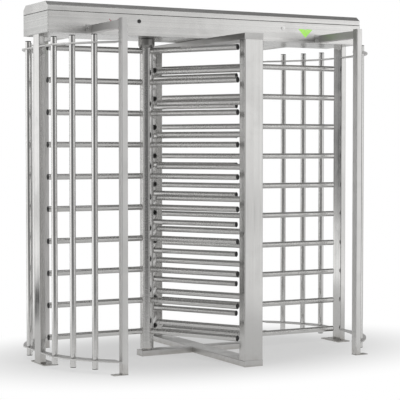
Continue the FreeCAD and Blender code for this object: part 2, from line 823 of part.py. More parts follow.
def save_header_contents():
    """What stands still inside the header."""
    axes = [side * rotor_offset for side in sides.values()]
    save("mechanism_plates", *[mechanism_plate(x) for x in axes])
    save("bearing_housings", *[bearing_housing(x) for x in axes])
    save("shaft_bearings", *[shaft_bearing(x) for x in axes])
    save("lock_solenoids", *[lock_solenoid(x, way) for x in axes for way in (-1, 1)])
    save("position_sensors", *[position_sensor(x) for x in axes])
    length, width, height = control_box_size
    save("control_box", box(-length / 2, length / 2, -width / 2, width / 2, case_floor, case_floor + height))
    length, width, height = power_supply_size
    x1 = half_length - power_supply_end_gap
    save("power_supply", box(x1 - length, x1, -width / 2, width / 2, case_floor, case_floor + height))
    corners = [(side, face) for side in sides.values() for face in faces.values()]
    save("signal_boards", *[signal_board(side, face) for side, face in corners])
    save("lock_housings", *[lock_housing(side) for side in sides.values()])
    save("lid_hinge_pins", *[fixed_hinge(side) for side in sides.values()])


def save_rotor(side_name, axis_x, rest_angle, lowest):
    """One rotor with its wings, caps, head, locking disc and bush, and its two lock bolts."""
    caps = []
    for letter, turn in zip("abc", range(wings_per_rotor)):
        degrees = rest_angle + 360 * turn / wings_per_rotor
        save(f"rotor_{side_name}_wing_{letter}", *wing(axis_x, degrees, lowest))
        caps += bars_from(axis_x, tip_radius - cap_length, tip_radius, degrees, lowest, bars_per_wing)
    save(f"rotor_{side_name}_caps", *caps)
    save(f"rotor_{side_name}_tube", rotor_tube(axis_x))
    save(f"rotor_{side_name}_locking_disc", locking_disc(axis_x))
    save(f"rotor_{side_name}_bush", rotor_bush(axis_x))
    save(f"lock_bolt_{side_name}_outer", lock_bolt(axis_x, math.copysign(1, axis_x)))
    save(f"lock_bolt_{side_name}_inner", lock_bolt(axis_x, -math.copysign(1, axis_x)))


def save_lid():
    save("header_lid", header_lid())
    save("lid_hooks", *[lid_hook(side) for side in sides.values()])
    save("lid_hinge_leaves", *[moving_hinge(side) for side in sides.values()])
    for side_name, side in sides.items():
        save(f"lid_lock_{side_name}", lid_lock(side))


os.makedirs("parts", exist_ok=True)
save_frame()
save_header_contents()
save_rotor("left", -rotor_offset, 180, lowest_left_bar)
save_rotor("right", rotor_offset, 0, lowest_right_bar)
save_lid()
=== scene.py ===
# %% [markdown]
# # A double full height turnstile
#
# Two upright rotors with three wings of level bars turn under one long steel header. This notebook
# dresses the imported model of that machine. It goes the way a fitter would: first the frame, then the
# camera, the finishes, the sheet work, the posts, the bars, the small parts, and at last the studio.

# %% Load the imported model
import math

import bmesh
import bpy
from mathutils import Matrix, Vector


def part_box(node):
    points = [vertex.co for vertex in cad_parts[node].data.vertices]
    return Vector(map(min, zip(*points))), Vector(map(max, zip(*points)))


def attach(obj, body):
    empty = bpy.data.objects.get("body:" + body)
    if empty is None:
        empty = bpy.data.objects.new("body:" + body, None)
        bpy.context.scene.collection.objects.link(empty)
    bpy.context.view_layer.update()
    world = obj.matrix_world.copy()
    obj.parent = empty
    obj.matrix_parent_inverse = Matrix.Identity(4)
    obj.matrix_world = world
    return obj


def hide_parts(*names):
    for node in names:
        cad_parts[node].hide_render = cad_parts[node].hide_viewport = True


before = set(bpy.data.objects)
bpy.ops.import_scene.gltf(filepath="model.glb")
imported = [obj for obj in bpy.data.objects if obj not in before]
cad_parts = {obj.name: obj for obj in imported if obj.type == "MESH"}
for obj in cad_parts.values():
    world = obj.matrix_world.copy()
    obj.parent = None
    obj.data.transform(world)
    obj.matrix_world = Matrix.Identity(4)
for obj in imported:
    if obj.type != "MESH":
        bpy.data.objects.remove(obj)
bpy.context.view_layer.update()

scene = bpy.context.scene
scene.view_settings.view_transform = "Standard"

# %% [markdown]
# ## Camera
#
# The camera stands about nine metres away, left of the front, at the height of a person's chest, and
# looks very slightly down. A long lens keeps the posts nearly parallel.

# %% Camera
camera_data = bpy.data.cameras.new("camera")
camera_data.lens = 122.19
camera_data.sensor_width = 36.0
camera_data.clip_end = 200.0
camera = bpy.data.objects.new("camera", camera_data)
scene.collection.objects.link(camera)
scene.camera = camera
tilt_down, turn_right = 2.2105, 28.0241
camera.location = (-4.3137, -8.1307, 1.3852)
camera.rotation_euler = (math.radians(90 - tilt_down), 0, math.radians(-turn_right))
print("camera distance:", round(camera.location.length, 2))

# %% [markdown]
# ## The sizes of the machine
#
# The sizes that repeat have a name here, in metres and degrees.

# %% Sizes
pivot_half_width = 0.034
rotor_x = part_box("floor_pivots")[1].x - pivot_half_width
post_radius = 0.04445
bar_radius = 0.019
bar_rim = 0.0184
chamfer = 0.0006
cap_flange = 0.003
tip_radius = 0.704
bar_pitch = 0.2065
lowest_bar = {"left": 0.165, "right": 0.087}
lowest_comb_bar = 0.2305
comb_reach = 0.08845
comb_slant = 30
guard_radius = 0.779
guard_angles = (16.5, 28.35, 40.2)
guard_post_x = 0.855
case_face_y = 0.212
flange_y = 0.216
sides = {"left": -1, "right": 1}
faces = {"front": -1, "back": 1}
print("rotor axes at x =", round(-rotor_x, 4), "and", round(rotor_x, 4))

# %% [markdown]
# ## Shared patterns
#
# Every steel surface here is brushed stainless sheet or tube. The brushing is long fine streaks, so one
# group stretches a noise along the grain. A second group gives broad smudges from hands and cleaning, a
# third gathers dust near the floor, and a fourth finds edges, which shine where the finish is rubbed.


# %% Helpers for node trees
def feed(tree, socket, value):
    """Links a value that is a socket, and sets one that is a number or a vector."""
    if isinstance(value, bpy.types.NodeSocket):
        tree.links.new(value, socket)
    else:
        socket.default_value = value


def new_group(name, inputs, outputs):
    """An empty shader group with named sockets, which it gives too."""
    group = bpy.data.node_groups.new(name, "ShaderNodeTree")
    for label, kind, value in inputs:
        socket = group.interface.new_socket(label, in_out="INPUT", socket_type=kind)
        socket.default_value = value
    for label, kind in outputs:
        group.interface.new_socket(label, in_out="OUTPUT", socket_type=kind)
    return group, group.nodes.new("NodeGroupInput").outputs, group.nodes.new("NodeGroupOutput").inputs


def math_node(tree, operation, *values):
    """One Math node. Each value is a socket or a number."""
    node = tree.nodes.new("ShaderNodeMath")
    node.operation = operation
    for socket, value in zip(node.inputs, values):
        feed(tree, socket, value)
    return node.outputs[0]


def vector_node(tree, operation, *values):
    """One Vector Math node. It gives its outputs, called Vector and Value."""
    node = tree.nodes.new("ShaderNodeVectorMath")
    node.operation = operation
    for socket, value in zip(node.inputs, values):
        feed(tree, socket, value)
    return node.outputs


def ranged(tree, value, low, high, to_low=0.0, to_high=1.0):
    """A Map Range node with smooth ends."""
    node = tree.nodes.new("ShaderNodeMapRange")
    node.interpolation_type = "SMOOTHSTEP"
    names = ("Value", "From Min", "From Max", "To Min", "To Max")
    for label, number in zip(names, (value, low, high, to_low, to_high)):
        feed(tree, node.inputs[label], number)
    return node.outputs["Result"]


def noise(tree, vector, **settings):
    """A noise over the surface. Each setting is a socket or a number."""
    node = tree.nodes.new("ShaderNodeTexNoise")
    tree.links.new(vector, node.inputs["Vector"])
    for label, value in settings.items():
        feed(tree, node.inputs[label], value)
    return node.outputs[0]


# %% Grain
grain, given, end = new_group(
    "grain",
    [("Vector", "NodeSocketVector", (0, 0, 0)), ("Stretch", "NodeSocketVector", (1, 1, 1))],
    [("Fine", "NodeSocketFloat"), ("Broad", "NodeSocketFloat")],
)
stretched = vector_node(grain, "MULTIPLY", given["Vector"], given["Stretch"])["Vector"]
for label, scale, detail in (("Fine", 1.0, 3.0), ("Broad", 0.12, 2.0)):
    streak = noise(grain, stretched, Scale=scale, Detail=detail, Roughness=0.6)
    grain.links.new(ranged(grain, streak, 0.3, 0.7), end[label])
print("grain sockets:", [item.name for item in grain.interface.items_tree])

# %% Smudges
smudges, given, end = new_group(
    "smudges",
    [("Vector", "NodeSocketVector", (0, 0, 0)), ("Scale", "NodeSocketFloat", 5.0)],
    [("Mask", "NodeSocketFloat")],
)
cloud = noise(smudges, given["Vector"], Scale=given["Scale"], Detail=5.0, Roughness=0.62, Distortion=0.6)
smudges.links.new(ranged(smudges, cloud, 0.42, 0.72), end["Mask"])

# %% Dust near the floor
dust, given, end = new_group(
    "floor_dust",
    [("Vector", "NodeSocketVector", (0, 0, 0)), ("Height", "NodeSocketFloat", 0.12)],
    [("Mask", "NodeSocketFloat")],
)
dust_split = dust.nodes.new("ShaderNodeSeparateXYZ")
dust.links.new(given["Vector"], dust_split.inputs[0])
dust_cloud = noise(dust, given["Vector"], Scale=22.0, Detail=4.0)
lowness = ranged(dust, dust_split.outputs["Z"], given["Height"], 0.0)
patchy = math_node(dust, "MULTIPLY", lowness, dust_cloud)
dust.links.new(ranged(dust, patchy, 0.15, 0.6), end["Mask"])

# %% Rubbed edges
rubbed, given, end = new_group(
    "rubbed_edges",
    [("Vector", "NodeSocketVector", (0, 0, 0)), ("Width", "NodeSocketFloat", 0.002)],
    [("Mask", "NodeSocketFloat")],
)
rounded = rubbed.nodes.new("ShaderNodeBevel")
rounded.samples = 4
rubbed.links.new(given["Width"], rounded.inputs["Radius"])
flat = rubbed.nodes.new("ShaderNodeNewGeometry").outputs["True Normal"]
agreement = vector_node(rubbed, "DOT_PRODUCT", rounded.outputs[0], flat)["Value"]
turned_away = ranged(rubbed, agreement, 0.98, 0.8)
worn_patches = ranged(rubbed, noise(rubbed, given["Vector"], Scale=60.0), 0.3, 0.6)
rubbed.links.new(math_node(rubbed, "MULTIPLY", turned_away, worn_patches), end["Mask"])
print("shader groups:", [group.name for group in bpy.data.node_groups])

# %% [markdown]
# ## Finishes
#
# Brushed steel takes its colour from what it reflects, so its own colour is a plain light grey with
# Metallic at 1. What tells one piece from another is the direction of the grain and how sharp the
# reflection is: the end posts, comb posts, tubes and bars are nearly polished, while the guard posts,
# the arms and the flat rings are satin. The top cross beam wears a darker grey, which is painted shade
# for the shade that falls under the header. Sheets read the object's own coordinates. Tubes carry a map
# that follows the surface, because the wings point in many directions.


# %% Steel
def placed_group(tree, group, vector, **values):
    """A shader group in a material, fed with coordinates and its own values. It gives its outputs."""
    node = tree.nodes.new("ShaderNodeGroup")
    node.node_tree = group
    tree.links.new(vector, node.inputs["Vector"])
    for label, value in values.items():
        node.inputs[label].default_value = value
    return node.outputs


def blended(tree, factor, first, second):
    """A Mix node for colours. Each colour is a socket or a tuple."""
    node = tree.nodes.new("ShaderNodeMix")
    node.data_type = "RGBA"
    tree.links.new(factor, node.inputs[0])
    for socket, value in ((node.inputs[6], first), (node.inputs[7], second)):
        feed(tree, socket, (*value, 1) if isinstance(value, tuple) else value)
    return node.outputs[2]


def new_material(name):
    """A material, its tree, its shader and the coordinates of the piece that wears it."""
    material = bpy.data.materials.new(name)
    material.use_nodes = True
    tree = material.node_tree
    place = tree.nodes.new("ShaderNodeTexCoord").outputs["Object"]
    return material, tree, tree.nodes["Principled BSDF"], place


def times(colour, factor):
    return tuple(min(1.0, c * factor) for c in colour)


def warm_grey(level):
    return level, level - 0.005, level - 0.015


def relieved(tree, shader, height, strength, distance):
    """Gives a shader a fine relief."""
    bump = tree.nodes.new("ShaderNodeBump")
    bump.inputs["Strength"].default_value = strength
    bump.inputs["Distance"].default_value = distance
    tree.links.new(height, bump.inputs["Height"])
    tree.links.new(bump.outputs["Normal"], shader.inputs["Normal"])


dust_tone = (0.36, 0.34, 0.31)


def steel(name, colour, roughness, stretch, mapped=False, streaks=0.08, relief=0.05, dusty=0.0, smudge=5.0):
    """Brushed stainless steel whose grain is short in the directions where stretch is large."""
    material, tree, shader, place = new_material(name)
    shader.inputs["Metallic"].default_value = 1.0
    along = place
    if mapped:
        surface_map = tree.nodes.new("ShaderNodeUVMap")
        surface_map.uv_map = "along"
        along = surface_map.outputs["UV"]
    lines = placed_group(tree, grain, along, Stretch=stretch)
    hands = placed_group(tree, smudges, place, Scale=smudge)
    tone = blended(tree, lines["Fine"], times(colour, 1 - streaks), times(colour, 1 + streaks))
    tone = blended(tree, math_node(tree, "MULTIPLY", hands["Mask"], 0.35), tone, times(colour, 0.9))
    if dusty:
        low = placed_group(tree, dust, place, Height=dusty)
        tone = blended(tree, math_node(tree, "MULTIPLY", low["Mask"], 0.45), tone, dust_tone)
    tree.links.new(tone, shader.inputs["Base Color"])
    gloss = math_node(tree, "MULTIPLY_ADD", lines["Broad"], 0.10, roughness - 0.05)
    smeared = math_node(tree, "MULTIPLY_ADD", hands["Mask"], 0.07, gloss)
    tree.links.new(smeared, shader.inputs["Roughness"])
    relieved(tree, shader, lines["Fine"], relief, 0.0004)
    return material


along_x, along_y, along_z = (2.5, 700, 700), (700, 2.5, 700), (700, 700, 2.5)
along_tube = (5, 500, 1)
sheet = {"streaks": 0.015, "relief": 0.012, "smudge": 3.0}
upright = {"streaks": 0.02, "relief": 0.01, "dusty": 0.14}
tube = {"mapped": True, "streaks": 0.03, "relief": 0.01}
header_steel = steel("header_steel", warm_grey(0.575), 0.24, along_x, **sheet)
lid_steel = steel("lid_steel", warm_grey(0.575), 0.26, along_x, **sheet)
post_steel = steel("post_steel", warm_grey(0.56), 0.13, along_z, **upright)
guard_steel = steel("guard_steel", warm_grey(0.65), 0.38, along_z, **upright)
arm_steel = steel("arm_steel", warm_grey(0.66), 0.50, along_y, streaks=0.05)
end_steel = steel("end_steel", (0.53, 0.53, 0.52), 0.28, along_y, streaks=0.01, relief=0.01, smudge=2.0)
beam_steel = steel("beam_steel", warm_grey(0.54), 0.32, along_x, dusty=0.06)
# Painted shade: the darker grey of this steel stands for the shade under the header on the top cross beam.
shade_painted_steel = steel("shade_painted_steel", warm_grey(0.40), 0.34, along_y)
plate_steel = steel("plate_steel", warm_grey(0.52), 0.38, (260, 260, 260), dusty=0.03)
tube_steel = steel("tube_steel", warm_grey(0.68), 0.17, along_tube, **tube)
bar_steel = steel("bar_steel", warm_grey(0.56), 0.21, along_tube, **tube)
head_steel = steel("head_steel", warm_grey(0.33), 0.34, along_tube, mapped=True, streaks=0.04, relief=0.02)
weld_steel = steel("weld_steel", (0.42, 0.40, 0.385), 0.38, (300, 300, 300), streaks=0.15, relief=0.3)
print("steels:", len(bpy.data.materials))


# %% Machined, plated and cast metals
def plain_metal(name, colour, roughness, stretch):
    """A small metal part: turned or plated, with rubbed edges."""
    material, tree, shader, place = new_material(name)
    shader.inputs["Metallic"].default_value = 1.0
    lines = placed_group(tree, grain, place, Stretch=stretch)
    edges = placed_group(tree, rubbed, place, Width=0.0008)
    tone = blended(tree, lines["Fine"], times(colour, 0.9), colour)
    tree.links.new(blended(tree, edges["Mask"], tone, times(colour, 1.35)), shader.inputs["Base Color"])
    gloss = math_node(tree, "MULTIPLY_ADD", lines["Broad"], 0.12, roughness)
    tree.links.new(gloss, shader.inputs["Roughness"])
    return material


bright_steel = plain_metal("bright_steel", (0.68, 0.68, 0.67), 0.18, (400, 400, 400))
machined_steel = plain_metal("machined_steel", (0.50, 0.50, 0.50), 0.28, (900, 900, 60))
bush_brass = plain_metal("bush_brass", (0.60, 0.42, 0.20), 0.30, (500, 500, 80))


# %% Plastic, rubber and paint
def moulded(name, colour, roughness, pores=420.0, relief=0.12, coat=0.0):
    """Plastic, rubber or powder paint: a fine skin, smudges, and a paler edge where it is rubbed."""
    material, tree, shader, place = new_material(name)
    shader.inputs["Coat Weight"].default_value = coat
    skin = placed_group(tree, grain, place, Stretch=(pores, pores, pores))
    hands = placed_group(tree, smudges, place, Scale=30.0)
    edges = placed_group(tree, rubbed, place, Width=0.0012)
    pale = tuple(min(1.0, c * 1.5 + 0.01) for c in colour)
    tone = blended(tree, math_node(tree, "MULTIPLY", hands["Mask"], 0.5), colour, pale)
    tree.links.new(blended(tree, edges["Mask"], tone, pale), shader.inputs["Base Color"])
    gloss = math_node(tree, "MULTIPLY_ADD", hands["Mask"], 0.12, roughness)
    tree.links.new(gloss, shader.inputs["Roughness"])
    relieved(tree, shader, skin["Fine"], relief, 0.0003)
    return material


cap_black = moulded("cap_black", (0.004, 0.004, 0.004), 0.50)
seal_rubber = moulded("seal_rubber", (0.020, 0.020, 0.020), 0.75, relief=0.3)
lock_black = moulded("lock_black", (0.014, 0.014, 0.015), 0.30, coat=0.3)
solenoid_black = moulded("solenoid_black", (0.03, 0.03, 0.032), 0.45)
box_paint = moulded("box_paint", (0.50, 0.51, 0.50), 0.42, pores=900.0, relief=0.25)
signal_board_green = moulded("signal_board_green", (0.02, 0.09, 0.04), 0.35, coat=0.4)


# %% Signal lamps
def lamp(name, colour, strength):
    """A small clear lamp whose glow is a little uneven."""
    material, tree, shader, place = new_material(name)
    uneven = placed_group(tree, grain, place, Stretch=(90, 90, 90))
    glow = blended(tree, uneven["Fine"], times(colour, 0.86), colour)
    tree.links.new(glow, shader.inputs["Emission Color"])
    tree.links.new(glow, shader.inputs["Base Color"])
    shader.inputs["Emission Strength"].default_value = strength
    shader.inputs["Roughness"].default_value = 0.25
    return material


green_lamp = lamp("green_lamp", (0.27, 0.68, 0.008), 0.9)
red_lamp = lamp("red_lamp", (0.30, 0.0, 0.03), 0.4)
print("materials:", len(bpy.data.materials))

# %% [markdown]
# ## Tools for making pieces
#
# Most of the frame is folded sheet and box section, and both have rounded corners that catch a line of
# light. A box section is a rounded outline swept along its length, with its bore. A plate is a block
# with a small bevel. Flat faces keep a flat look under smooth shading when their normals are weighted
# by area, so every mesh goes through that before it becomes a piece.


# %% Making an object
def plain_mesh(thing):
    """Turns what the modifiers make into the object's own mesh and removes them."""
    bpy.context.view_layer.update()
    depsgraph = bpy.context.evaluated_depsgraph_get()
    evaluated = thing.evaluated_get(depsgraph)
    made = bpy.data.meshes.new_from_object(evaluated, preserve_all_data_layers=True, depsgraph=depsgraph)
    thing.modifiers.clear()
    thing.data = made
    return thing


def linked_object(name, data):
    thing = bpy.data.objects.new(name, data)
    scene.collection.objects.link(thing)
    return thing


def object_from(bm, name, sharp=32.0):
    """A smooth-shaded object from a mesh in the making, with its flats kept flat."""
    mesh = bpy.data.meshes.new(name)
    bm.to_mesh(mesh)
    bm.free()
    for polygon in mesh.polygons:
        polygon.use_smooth = True
    mesh.set_sharp_from_angle(angle=math.radians(sharp))
    thing = linked_object(name, mesh)
    weighted = thing.modifiers.new("flat_faces", "WEIGHTED_NORMAL")
    weighted.keep_sharp = True
    return plain_mesh(thing)


def dressed(thing, body, slot, material, *nodes):
    """Gives a finished object its material, its body and the nodes that it stands for; the slot is not used.
    """
    thing.data.materials.clear()
    thing.data.materials.append(material)
    for polygon in thing.data.polygons:
        polygon.material_index = 0
    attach(thing, body)
    if nodes:
        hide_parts(*nodes)
    print(f"{thing.name}: {len(thing.data.polygons)} faces on {body}")


# %% Softening the edges of a CAD piece
def bevelled(bm, edges, radius, segments=2):
    bmesh.ops.bevel(
        bm, geom=edges, offset=radius, segments=segments, profile=0.5, affect="EDGES", clamp_overlap=True
    )


def softened(name, node, radius, segments=2, shortest=0.004):
    """A copy of a CAD node whose outward edges are rounded, apart from those that are too short."""
    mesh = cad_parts[node].data.copy()
    bm = bmesh.new()
    bm.from_mesh(mesh)
    bmesh.ops.remove_doubles(bm, verts=bm.verts, dist=1e-5)
    bmesh.ops.dissolve_limit(bm, angle_limit=math.radians(1), verts=bm.verts, edges=bm.edges)
    chosen = []
    for edge in bm.edges:
        if len(edge.link_faces) != 2 or edge.calc_length() < shortest:
            continue
        if edge.calc_face_angle_signed() > math.radians(28):
            chosen.append(edge)
    bevelled(bm, chosen, radius, segments)
    bpy.data.meshes.remove(mesh)
    return object_from(bm, name)


# %% Box sections and plates
def rounded_outline(half_u, half_v, radius, steps=4):
    """The corners of a rectangle with round corners, the way round that a screw is loosened."""
    points = []
    for sign_u, sign_v, start in ((1, 1, 0), (-1, 1, 90), (-1, -1, 180), (1, -1, 270)):
        for k in range(steps + 1):
            angle = math.radians(start + 90 * k / steps)
            u = sign_u * (half_u - radius) + radius * math.cos(angle)
            v = sign_v * (half_v - radius) + radius * math.sin(angle)
            points.append((u, v))
    return points


def section(bm, low, high, along, corner, wall, lip=0.0006):
    """A box section between two corners, its bore open at both ends."""
    k = "XYZ".index(along)
    i, j = (k + 1) % 3, (k + 2) % 3
    middle = (low + high) / 2
    half_u, half_v = (high - low)[i] / 2, (high - low)[j] / 2
    start, end = low[k], high[k]
    outer = rounded_outline(half_u, half_v, corner)
    eased = rounded_outline(half_u - lip, half_v - lip, corner - lip)
    bore = rounded_outline(half_u - wall, half_v - wall, max(corner - wall, 0.0008))
    outside = [(eased, start), (outer, start + lip), (outer, end - lip), (eased, end)]
    rings = []
    for outline, place in [*outside, (bore, end), (bore, start)]:
        ring = []
        for u, v in outline:
            point = Vector((0, 0, 0))
            point[i], point[j], point[k] = middle[i] + u, middle[j] + v, place
            ring.append(bm.verts.new(point))
        rings.append(ring)
    for ring, following in zip(rings, rings[1:] + rings[:1]):
        for a in range(len(ring)):
            b = (a + 1) % len(ring)
            bm.faces.new((ring[a], ring[b], following[b], following[a]))
    bmesh.ops.recalc_face_normals(bm, faces=bm.faces)


def block(bm, low, high, rounding):
    """A plate or a solid block with rounded edges."""
    made = bmesh.ops.create_cube(bm, size=1.0)["verts"]
    size = Vector(high) - Vector(low)
    middle = (Vector(high) + Vector(low)) / 2
    place = Matrix.Translation(middle) @ Matrix.Diagonal((*size, 1))
    bmesh.ops.transform(bm, matrix=place, verts=made)
    bevelled(bm, [edge for edge in bm.edges if edge.verts[0] in made], rounding)


# %% Turned pieces
def lathe(bm, profile, start, along, steps=48):
    """Turns a profile of (distance along, radius) about an axis and maps its surface in metres."""
    start, along = Vector(start), Vector(along)
    side = along.orthogonal().normalized()
    up = along.cross(side)
    layer = bm.loops.layers.uv.get("along") or bm.loops.layers.uv.new("along")
    rings = []
    for distance, radius in profile:
        centre = start + along * distance
        if radius < 1e-6:
            rings.append([bm.verts.new(centre)] * steps)
            continue
        ring = []
        for k in range(steps):
            angle = 2 * math.pi * k / steps
            ring.append(bm.verts.new(centre + (side * math.cos(angle) + up * math.sin(angle)) * radius))
        rings.append(ring)
    for first in range(len(rings) - 1):
        lower, upper = rings[first], rings[first + 1]
        (low, low_radius), (high, high_radius) = profile[first], profile[first + 1]
        arc = 2 * math.pi * max(low_radius, high_radius) / steps
        for k in range(steps):
            n = (k + 1) % steps
            corners = {}
            for vert, turn, length in (
                (lower[k], k, low),
                (lower[n], k + 1, low),
                (upper[n], k + 1, high),
                (upper[k], k, high),
            ):
                corners.setdefault(vert, (turn * arc, length))
            if len(corners) < 3:
                continue
            face = bm.faces.new(list(corners))
            for loop, place in zip(face.loops, corners.values()):
                loop[layer].uv = place
    bmesh.ops.recalc_face_normals(bm, faces=bm.faces)


def turned_object(name, profile, start, along, steps=48):
    bm = bmesh.new()
    lathe(bm, profile, start, along, steps)
    return object_from(bm, name)


# %% [markdown]
# ## Trees for what repeats
#
# The bars, their caps, the guard tubes and the welds are the same piece set out in rows and turns about
# an upright axis. One tree stacks a piece at even heights and then turns the stack. A second tree puts
# a copy on every point of a small mesh, for the bolts and the lamps.


# %% Helpers for geometry trees
def geometry_tree(name, inputs):
    """An empty geometry tree with named sockets, which it gives too."""
    tree = bpy.data.node_groups.new(name, "GeometryNodeTree")
    tree.interface.new_socket("Geometry", in_out="INPUT", socket_type="NodeSocketGeometry")
    for label, kind in inputs:
        tree.interface.new_socket(label, in_out="INPUT", socket_type=kind)
    tree.interface.new_socket("Geometry", in_out="OUTPUT", socket_type="NodeSocketGeometry")
    return tree, tree.nodes.new("NodeGroupInput").outputs, tree.nodes.new("NodeGroupOutput").inputs


def piece_of(tree, given_object):
    node = tree.nodes.new("GeometryNodeObjectInfo")
    tree.links.new(given_object, node.inputs["Object"])
    return node.outputs["Geometry"]


def piece_on_points(tree, points, piece, turn=None):
    """A copy of a piece on every point."""
    node = tree.nodes.new("GeometryNodeInstanceOnPoints")
    tree.links.new(points, node.inputs["Points"])
    tree.links.new(piece, node.inputs["Instance"])
    if turn is not None:
        tree.links.new(turn, node.inputs["Rotation"])
    return node.outputs[0]


def row_of_points(tree, count, start, step):
    node = tree.nodes.new("GeometryNodeMeshLine")
    for label, value in (("Count", count), ("Start Location", start), ("Offset", step)):
        feed(tree, node.inputs[label], value)
    return node.outputs[0]


def on_axis(tree, axis, value):
    """A vector along one axis."""
    node = tree.nodes.new("ShaderNodeCombineXYZ")
    tree.links.new(value, node.inputs[axis])
    return node.outputs[0]


def finished_tree(tree, geometry, material, end):
    """Every tree ends by making its copies real and giving them a material."""
    real = tree.nodes.new("GeometryNodeRealizeInstances")
    coat = tree.nodes.new("GeometryNodeSetMaterial")
    tree.links.new(geometry, real.inputs[0])
    tree.links.new(real.outputs[0], coat.inputs["Geometry"])
    tree.links.new(material, coat.inputs["Material"])
    tree.links.new(coat.outputs[0], end["Geometry"])


# %% Tree that stacks and turns
stacks, given, end = geometry_tree(
    "stacks",
    [
        ("Piece", "NodeSocketObject"),
        ("Count", "NodeSocketInt"),
        ("Pitch", "NodeSocketFloat"),
        ("Lowest", "NodeSocketFloat"),
        ("Turns", "NodeSocketInt"),
        ("First Angle", "NodeSocketFloat"),
        ("Turn Step", "NodeSocketFloat"),
        ("Axis X", "NodeSocketFloat"),
        ("Material", "NodeSocketMaterial"),
    ],
)
lowest_point, rise = on_axis(stacks, "Z", given["Lowest"]), on_axis(stacks, "Z", given["Pitch"])
levels = row_of_points(stacks, given["Count"], lowest_point, rise)
stack = piece_on_points(stacks, levels, piece_of(stacks, given["Piece"]))
turn_points = row_of_points(stacks, given["Turns"], on_axis(stacks, "X", given["Axis X"]), (0, 0, 0))
index = stacks.nodes.new("GeometryNodeInputIndex").outputs[0]
angle = math_node(stacks, "MULTIPLY_ADD", index, given["Turn Step"], given["First Angle"])
turned_stacks = piece_on_points(stacks, turn_points, stack, on_axis(stacks, "Z", angle))
finished_tree(stacks, turned_stacks, given["Material"], end)
print("stacks has", len(stacks.nodes), "nodes")

# %% Tree that puts a copy on every point
copies, given, end = geometry_tree(
    "copies",
    [("Piece", "NodeSocketObject"), ("Turn", "NodeSocketVector"), ("Material", "NodeSocketMaterial")],
)
copied = piece_on_points(copies, given["Geometry"], piece_of(copies, given["Piece"]), given["Turn"])
finished_tree(copies, copied, given["Material"], end)


# %% Using the trees
def run_tree(thing, tree, values):
    """Adds the tree to an object, sets its inputs by their identifiers and keeps the plain result."""
    modifier = thing.modifiers.new(tree.name, "NODES")
    modifier.node_group = tree
    for item in tree.interface.items_tree:
        if item.item_type == "SOCKET" and item.in_out == "INPUT" and item.name in values:
            modifier[item.identifier] = values[item.name]
    return plain_mesh(thing)


def point_object(name, points):
    mesh = bpy.data.meshes.new(name)
    mesh.from_pydata([tuple(p) for p in points], [], [])
    return linked_object(name, mesh)


def joined(name, things):
    """Puts the meshes of several plain objects into one."""
    bm = bmesh.new()
    for thing in things:
        bm.from_mesh(thing.data)
        bpy.data.objects.remove(thing)
    mesh = bpy.data.meshes.new(name)
    bm.to_mesh(mesh)
    bm.free()
    return linked_object(name, mesh)


def stacked(name, piece, material, runs):
    """Each run is (count, pitch, lowest, turns, first angle, step, axis x), with angles in degrees."""
    made = []
    for count, pitch, lowest, turns, first, step, axis_x in runs:
        values = {
            "Piece": piece,
            "Count": count,
            "Pitch": pitch,
            "Lowest": lowest,
            "Turns": turns,
            "First Angle": math.radians(first),
            "Turn Step": math.radians(step),
            "Axis X": axis_x,
            "Material": material,
        }
        made.append(run_tree(point_object(name + "_run", [(0, 0, 0)]), stacks, values))
    if len(made) > 1:
        return joined(name, made)
    made[0].name = name
    return made[0]


def on_points(name, points, piece, turn, material):
    values = {"Piece": piece, "Turn": turn, "Material": material}
    return run_tree(point_object(name, points), copies, values)


# %% [markdown]
# ## The header
#
# The header is a folded case of two millimetre sheet with a lid that lifts. Its folds are not knife
# edges: the press brake leaves a small radius. The case and the lid are copied from the model with
# their long edges rounded, so every hole and rim stays where it is.

# %% Header sheets
fold_radius = 0.0018
shortest_fold = 0.3
case_sheet = softened("case_sheet", "header_case", fold_radius, 3, shortest=shortest_fold)
dressed(case_sheet, "frame", "header_steel", header_steel, "header_case")
lid_sheet = softened("lid_sheet", "header_lid", fold_radius, 3, shortest=shortest_fold)
dressed(lid_sheet, "lid", "header_steel", lid_steel, "header_lid")
end_sheets = softened("end_sheets", "header_end_plates", 0.0008)
dressed(end_sheets, "frame", "header_steel", end_steel, "header_end_plates")
seal = softened("seal_strips", "lid_seal", 0.0006)
dressed(seal, "frame", "seal_rubber", seal_rubber, "lid_seal")

# %% [markdown]
# ## Posts, beams and arms
#
# The uprights are rectangular tubes. Each is made anew from its box in the model, with the corner
# radius of drawn section, which is about twice the wall.


# %% Posts
def box_section(node, along, corner, material):
    """A node made anew as a box section of three millimetre wall."""
    bm = bmesh.new()
    section(bm, *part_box(node), along, corner, 0.003)
    dressed(object_from(bm, node + "_section"), "frame", "frame_steel", material, node)


for name in sides:
    box_section(f"end_post_{name}", "Z", 0.005, post_steel)
for name in faces:
    box_section(f"comb_post_{name}", "Z", 0.006, post_steel)

# %% Guard posts, each with a plate welded into its top
light_corner, light_wall = 0.004, 0.002
inset, plate = 0.0024, 0.003
for face in faces:
    for side in sides:
        node = f"guard_post_{face}_{side}"
        low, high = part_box(node)
        bm = bmesh.new()
        section(bm, low, high, "Z", light_corner, light_wall)
        plate_low = (low.x + inset, low.y + inset, high.z - plate)
        block(bm, plate_low, (high.x - inset, high.y - inset, high.z), 0.0005)
        dressed(object_from(bm, node + "_section"), "frame", "frame_steel", guard_steel, node)

# %% Beams
# The top cross beam takes the darker steel, which is painted shade for the shade under the header.
box_section("top_cross_beam", "Y", 0.005, shade_painted_steel)
box_section("floor_cross_beam", "Y", 0.005, beam_steel)
for name in sides:
    box_section(f"floor_beam_{name}", "X", 0.005, beam_steel)
covers = softened("beam_covers", "beam_end_plates", 0.0012)
dressed(covers, "frame", "frame_steel", plate_steel, "beam_end_plates")

